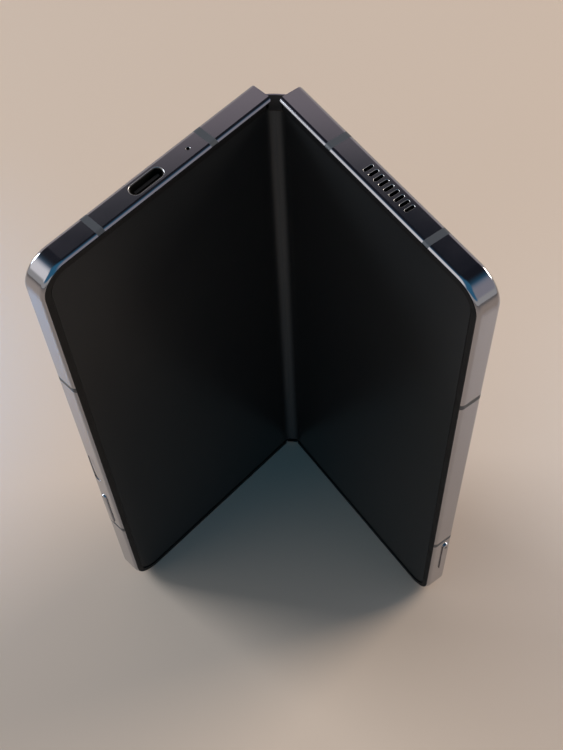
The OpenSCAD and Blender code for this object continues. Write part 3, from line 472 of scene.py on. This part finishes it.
def strip_point(out, depth):
    """Where a point of the flat strip lies at rest, so that it comes out flat when opened."""
    x, y = out - AXIS_X, depth - AXIS_DEPTH

    def turned(w):
        a = w * FOLD
        return (AXIS_X + x * math.cos(a) + y * math.sin(a),
                AXIS_DEPTH - x * math.sin(a) + y * math.cos(a))

    low, high = 0.0, 1.0
    for _ in range(HALVINGS):
        middle = (low + high) / 2
        if share(turned(middle)[0]) > middle:
            low = middle
        else:
            high = middle
    return turned(low)


def fold_strip(body, depth, thick, low, high):
    """Half of the strip across the hinge: a grid laid along its curve, with thickness."""
    nothing_selected()
    bpy.ops.mesh.primitive_grid_add(x_subdivisions=STRIP_COLUMNS,
                                    y_subdivisions=STRIP_ROWS, size=1)
    obj = bpy.context.object
    for v in obj.data.vertices:
        out = (v.co.x + 0.5) * STRIP_END
        x, y = strip_point(out, depth)
        v.co = (max(0, x) * SIDES[body], y + HINGE_Y - AXIS_DEPTH,
                low + (v.co.y + 0.5) * (high - low))
    tidy_normals(obj)
    # The thickness goes backwards, so the sheet has to face the front
    if obj.data.polygons[0].normal.y > 0:
        bpy.ops.object.mode_set(mode="EDIT")
        bpy.ops.mesh.flip_normals()
        bpy.ops.object.mode_set(mode="OBJECT")
    apply_modifier(obj, "SOLIDIFY", thickness=thick, offset=-1)
    bpy.ops.object.shade_smooth_by_angle(angle=SMOOTH_ANGLE)
    return obj


def blend_strip(obj):
    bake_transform(obj)


class PHONE_OT_screen(bpy.types.Operator):
    """Adds the folding display: a flat panel on each half and a curved strip between"""
    bl_idname = "phone.screen"
    bl_label = "Folding Display"

    def execute(self, context):
        mats = materials()
        sizes = context.scene.phone_sizes
        node = {"main_half": "main_display", "cover_half": "cover_side_display"}
        film_in = BEZEL_IN + sizes.film_margin
        film_depth = SCREEN_DEPTH - sizes.film_t
        for body in SIDES:
            part = body.removesuffix("_half")
            panel = rounded_plate((STRIP_END, SCREEN_DEPTH, SCREEN_EDGE),
                                  (HALF_W - SCREEN_EDGE, SCREEN_DEPTH + SCREEN_T,
                                   PHONE_H - SCREEN_EDGE), CORNER_R - SCREEN_EDGE)
            onto_half(panel, body)
            finish_piece(panel, part + "_screen", mats["screen"])
            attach(panel, body)
            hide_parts(node[body])
            film = rounded_plate((STRIP_END, film_depth, film_in),
                                 (HALF_W - film_in, SCREEN_DEPTH, PHONE_H - film_in),
                                 CORNER_R - film_in)
            onto_half(film, body)
            finish_piece(film, part + "_screen_film", mats["film"])
            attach(film, body)
            strip = fold_strip(body, SCREEN_DEPTH, SCREEN_T, STRIP_LOW, PHONE_H - STRIP_LOW)
            finish_piece(strip, part + "_fold_strip", mats["screen"])
            blend_strip(strip)
            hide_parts("display_fold_strip")
            layer = fold_strip(body, film_depth, sizes.film_t, film_in, PHONE_H - film_in)
            finish_piece(layer, part + "_fold_film", mats["fold"])
            blend_strip(layer)
        return {"FINISHED"}


# ---- Rims of the openings ----

def stadium_rim(length, width, bead, away, depth):
    """A bright bead round a slot in the top edge, just below the surface."""
    nothing_selected()
    radius = min(length, width) / 2
    bpy.ops.mesh.primitive_circle_add(vertices=ROUND_STEPS, radius=radius)
    obj = bpy.context.object
    pull_apart(obj, 0, length / 2 - radius)
    pull_apart(obj, 1, width / 2 - radius)
    obj.location = (away, depth, PHONE_H - bead)
    bpy.ops.object.transform_apply(location=True, rotation=True, scale=True)
    bpy.ops.object.convert(target="CURVE")
    curve = bpy.context.object
    curve.data.dimensions = "3D"
    curve.data.bevel_depth = bead
    curve.data.bevel_resolution = 3
    bpy.ops.object.convert(target="MESH")
    return bpy.context.object


def copy_further_out(obj, away):
    """A copy with its own mesh, moved away from the hinge."""
    only(obj)
    bpy.ops.object.duplicate()
    bpy.context.object.location.x += away
    return bpy.context.object


class PHONE_OT_openings(bpy.types.Operator):
    """Adds the bright rims round the socket, the microphone hole and the speaker slots"""
    bl_idname = "phone.openings"
    bl_label = "Rims of the Openings"

    socket_at = 33.45 * MM
    socket_size = (8.94 * MM, 3.26 * MM)
    hole_at, hole_r = 21.8 * MM, 0.5 * MM
    hole_bead = 0.5         # as a share of the socket's rim
    slot_at, slot_pitch = 26.6 * MM, 1.64 * MM
    slot_size = (1.0 * MM, 2.6 * MM)
    slot_drop = 0.15 * MM
    slot_bead = 0.8         # as a share of the socket's rim

    def execute(self, context):
        mats = materials()
        sizes = context.scene.phone_sizes
        ring = stadium_rim(*self.socket_size, sizes.rim_r, self.socket_at, PORT_DEPTH)
        onto_half(ring, "main_half")
        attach(finish_piece(ring, "socket_rim", mats["rim"]), "main_half")
        hole = stadium_rim(2 * self.hole_r, 2 * self.hole_r, self.hole_bead * sizes.rim_r,
                           self.hole_at, PORT_DEPTH)
        onto_half(hole, "main_half")
        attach(finish_piece(hole, "microphone_rim", mats["rim"]), "main_half")
        first = stadium_rim(*self.slot_size, self.slot_bead * sizes.rim_r, self.slot_at,
                            PORT_DEPTH + self.slot_drop)
        row = [first] + [copy_further_out(first, i * self.slot_pitch)
                         for i in range(1, sizes.slots)]
        for i, rim in enumerate(row):
            onto_half(rim, "cover_half")
            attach(finish_piece(rim, f"speaker_slot_rim_{i + 1}", mats["rim"]),
                    "cover_half")
        return {"FINISHED"}


# ---- Keys ----

def key_bar(length, height, inner, outer, bevel):
    """A stadium-shaped key through the long edge, with rounded outer edges."""
    nothing_selected()
    bpy.ops.mesh.primitive_cylinder_add(vertices=ROUND_STEPS, radius=KEY_W / 2,
                                        depth=outer - inner, rotation=(0, math.pi / 2, 0))
    obj = bpy.context.object
    bpy.ops.object.transform_apply(location=False, rotation=True, scale=False)
    pull_apart(obj, 2, (length - KEY_W) / 2)
    obj.location = ((inner + outer) / 2, KEY_DEPTH, height)
    bpy.ops.object.transform_apply(location=True, rotation=False, scale=False)
    apply_modifier(obj, "BEVEL", width=bevel, segments=4, limit_method="ANGLE",
                   angle_limit=math.radians(60))
    return obj


class PHONE_OT_keys(bpy.types.Operator):
    """Replaces the power key and the volume key by ones with rounded edges"""
    bl_idname = "phone.keys"
    bl_label = "Keys"

    # Each key's length, its middle's height, and how far it stands out of the edge
    power = (13.2 * MM, 68.7 * MM, -0.1 * MM)
    volume = (16.3 * MM, 44.8 * MM, 0.35 * MM)
    reach_in = 0.2 * MM     # past the rail, into the half

    def execute(self, context):
        mats = materials()
        bevel = context.scene.phone_sizes.key_bevel
        inner = HALF_W - RAIL_W - self.reach_in
        for name, (length, height, rise) in (("power_key", self.power),
                                             ("volume_key", self.volume)):
            key = key_bar(length, height, inner, HALF_W + rise, bevel)
            onto_half(key, "main_half")
            finish_piece(key, name + "_cap", mats["frame"])
            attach(key, name)
            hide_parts(name)
        return {"FINISHED"}


# ---- Flex cables ----

class PHONE_OT_cables(bpy.types.Operator):
    """Replaces the flex cables by two copies, cut apart at the middle of the phone, one for each
    half
    """
    bl_idname = "phone.cables"
    bl_label = "Flex Cables"

    bend = (1.0 * MM, 5.2 * MM)     # from the middle of the phone, where the bend lies

    def execute(self, context):
        for body, side in SIDES.items():
            obj = bpy.data.objects.new("cables", frame["nodes"]["flex_cables"].data.copy())
            context.scene.collection.objects.link(obj)
            only(obj)
            bpy.ops.object.mode_set(mode="EDIT")
            bpy.ops.mesh.select_all(action="SELECT")
            bpy.ops.mesh.remove_doubles(threshold=CLOSE)
            bpy.ops.mesh.bisect(plane_co=(0, 0, 0), plane_no=(side, 0, 0), use_fill=True,
                                clear_inner=True)
            bpy.ops.object.mode_set(mode="OBJECT")
            tidy_normals(obj)
            name = body.removesuffix("_half") + "_flex_cables"
            finish_piece(obj, name, materials()["flex"])
            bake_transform(obj)
            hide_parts("flex_cables")
        return {"FINISHED"}


# ---- Finishes of the CAD nodes ----

class PHONE_OT_finishes(bpy.types.Operator):
    """Gives every CAD node its finished material"""
    bl_idname = "phone.finishes"
    bl_label = "Finishes"

    def execute(self, context):
        mats = materials()
        for finish, nodes in NODE_FINISH.items():
            for node in nodes:
                obj = frame["nodes"][node]
                obj.data.materials.clear()
                obj.data.materials.append(mats[finish])
        return {"FINISHED"}


# ---- Stage ----

class PHONE_OT_stage(bpy.types.Operator):
    """Adds the floor, the lamps, the world and the camera"""
    bl_idname = "phone.stage"
    bl_label = "Stage"

    floor_size = 6
    phone_middle = (0, 0, 0.07)

    # The camera's place, and how far it looks down, to the side and leans
    camera_at = Vector((20.289, -160.80, 353.13)) * MM
    pitch, yaw, roll = (math.radians(a) for a in (59.427, -7.017, -3.542))

    # The world's colour behind the phone, by the upward share of the view's direction
    back_glow = [(0.0, (0.80, 0.70, 0.62)), (0.5, (0.55, 0.48, 0.45)),
                 (0.70, (0.42, 0.36, 0.38)), (0.735, (0.36, 0.31, 0.33)),
                 (0.765, (0.10, 0.10, 0.11)), (0.79, (0.02, 0.022, 0.03)),
                 (1.0, (0.015, 0.015, 0.02))]
    # Its colour in front of the phone, and the sideways band where the two meet
    front_glow = (0.05, 0.20, 0.34)
    front_to_back = (-0.2, 0.3)
    # Soft patches at both sides: direction, where each begins to show, and colour
    patches = [((-0.85, -0.28, 0.46), 0.86, (1.25, 1.2, 1.18)),
               ((0.85, -0.28, 0.46), 0.80, (0.40, 0.38, 0.42))]
    patch_core = 0.985
    # The pale ring along the horizon, and the heights between which it fades out
    horizon = (0.55, 0.53, 0.51)
    horizon_fade = (0.20, 0.34)

    def add_floor(self, colour):
        nothing_selected()
        bpy.ops.mesh.primitive_plane_add(size=self.floor_size, location=(0, 0, 0))
        floor = bpy.context.object
        floor.name = "floor"
        mat = finish_material("floor", colour, rough=0.7, vary=0.05, scale=60,
                              contrast=0.03)
        floor.data.materials.append(mat)

    def add_lamp(self, name, place, aim, size, power, colour, fan):
        """A square lamp that shines from place at aim and fans out by so many degrees."""
        nothing_selected()
        bpy.ops.object.light_add(type="AREA", location=place)
        lamp = bpy.context.object
        lamp.name = name
        lamp.data.size = size
        lamp.data.energy = power
        lamp.data.color = colour
        lamp.data.spread = math.radians(fan)
        lamp.rotation_euler = (Vector(aim) - Vector(place)).to_track_quat(
            "-Z", "Y").to_euler()

    def add_lamps(self):
        """Two softboxes behind the phone, and two faint cool lamps above its sides."""
        self.add_lamp("left_softbox", place=(-1.30, 0.45, 0.75), aim=self.phone_middle,
                      size=0.68, power=5.3, colour=(0.82, 0.90, 0.97), fan=90)
        self.add_lamp("right_softbox", place=(1.16, 0.75, 0.75), aim=self.phone_middle,
                      size=0.68, power=4.8, colour=(1, 0.91, 0.80), fan=90)
        self.add_lamp("left_glow", place=(-0.170, 0.03, 0.35), aim=(-0.170, 0.03, 0),
                      size=0.08, power=0.045, colour=(0.08, 0.40, 1), fan=30)
        self.add_lamp("right_glow", place=(0.16, 0.01, 0.35), aim=(0.16, 0.01, 0),
                      size=0.08, power=0.036, colour=(0.45, 0.62, 0.88), fan=40)

    def add_world(self):
        """Darkening upwards behind, dim blue in front, and pale along the horizon."""
        world = bpy.data.worlds.new("studio")
        bpy.context.scene.world = world
        world.use_nodes = True
        tree = world.node_tree
        way = tree.nodes.new("ShaderNodeTexCoord").outputs["Generated"]
        split = tree.nodes.new("ShaderNodeSeparateXYZ")
        tree.links.new(way, split.inputs["Vector"])
        ramp = tree.nodes.new("ShaderNodeValToRGB")
        stops = ramp.color_ramp.elements
        for place, _ in self.back_glow[len(stops):]:
            stops.new(place)
        for stop, (place, colour) in zip(stops, self.back_glow):
            stop.position, stop.color = place, (*colour, 1)
        tree.links.new(split.outputs["Z"], ramp.inputs["Fac"])
        light = mix_colours(tree, in_range(tree, split.outputs["Y"], *self.front_to_back),
                            self.front_glow, ramp.outputs["Color"])
        for toward, edge, colour in self.patches:
            near = tree.nodes.new("ShaderNodeVectorMath")
            near.operation = "DOT_PRODUCT"
            near.inputs[1].default_value = Vector(toward).normalized()
            tree.links.new(way, near.inputs[0])
            patch = in_range(tree, near.outputs["Value"], edge, self.patch_core)
            light = mix_colours(tree, patch, light, colour)
        light = mix_colours(tree, in_range(tree, split.outputs["Z"], *self.horizon_fade),
                            self.horizon, light)
        tree.links.new(light, tree.nodes["Background"].inputs["Color"])

    def add_camera(self, lens):
        data = bpy.data.cameras.new("camera")
        camera = bpy.data.objects.new("camera", data)
        bpy.context.scene.collection.objects.link(camera)
        data.lens = lens
        data.clip_start, data.clip_end = 0.01, 20
        ahead = Vector((math.cos(self.pitch) * math.sin(self.yaw),
                        math.cos(self.pitch) * math.cos(self.yaw), -math.sin(self.pitch)))
        level = Vector((math.cos(self.yaw), -math.sin(self.yaw), 0))
        above = level.cross(ahead)
        right = math.cos(self.roll) * level + math.sin(self.roll) * above
        up = right.cross(ahead)
        camera.matrix_world = Matrix((
            (right.x, up.x, -ahead.x, self.camera_at.x),
            (right.y, up.y, -ahead.y, self.camera_at.y),
            (right.z, up.z, -ahead.z, self.camera_at.z),
            (0, 0, 0, 1)))
        bpy.context.scene.camera = camera

    def execute(self, context):
        look = context.scene.phone_stage
        self.add_floor(look.floor)
        self.add_lamps()
        self.add_world()
        self.add_camera(look.lens)
        context.scene.view_settings.view_transform = "Standard"
        return {"FINISHED"}


# ---- Panel, registration and the run ----

class PHONE_PT_panel(bpy.types.Panel):
    bl_label = "Foldable Phone"
    bl_idname = "PHONE_PT_panel"
    bl_space_type = "VIEW_3D"
    bl_region_type = "UI"
    bl_category = "Phone"

    def draw(self, context):
        scene = context.scene
        for group in (scene.phone_looks, scene.phone_sizes, scene.phone_stage):
            for prop in group.bl_rna.properties:
                if prop.identifier not in ("rna_type", "name"):
                    self.layout.prop(group, prop.identifier)
        for op in ("phone.finishes", "phone.screen", "phone.openings", "phone.keys",
                   "phone.cables", "phone.stage"):
            self.layout.operator(op)


CLASSES = (PhoneLooks, PhoneSizes, PhoneStage, PHONE_OT_finishes, PHONE_OT_screen,
           PHONE_OT_openings, PHONE_OT_keys, PHONE_OT_cables, PHONE_OT_stage, PHONE_PT_panel)


def register():
    for cls in CLASSES:
        bpy.utils.register_class(cls)
    bpy.types.Scene.phone_looks = PointerProperty(type=PhoneLooks)
    bpy.types.Scene.phone_sizes = PointerProperty(type=PhoneSizes)
    bpy.types.Scene.phone_stage = PointerProperty(type=PhoneStage)


def unregister():
    del bpy.types.Scene.phone_stage
    del bpy.types.Scene.phone_sizes
    del bpy.types.Scene.phone_looks
    for cls in reversed(CLASSES):
        bpy.utils.unregister_class(cls)


def main():
    register()
    bpy.ops.phone.finishes()
    bpy.ops.phone.screen()
    bpy.ops.phone.openings()
    bpy.ops.phone.keys()
    bpy.ops.phone.cables()
    bpy.ops.phone.stage()


if __name__ == "__main__":
    main()
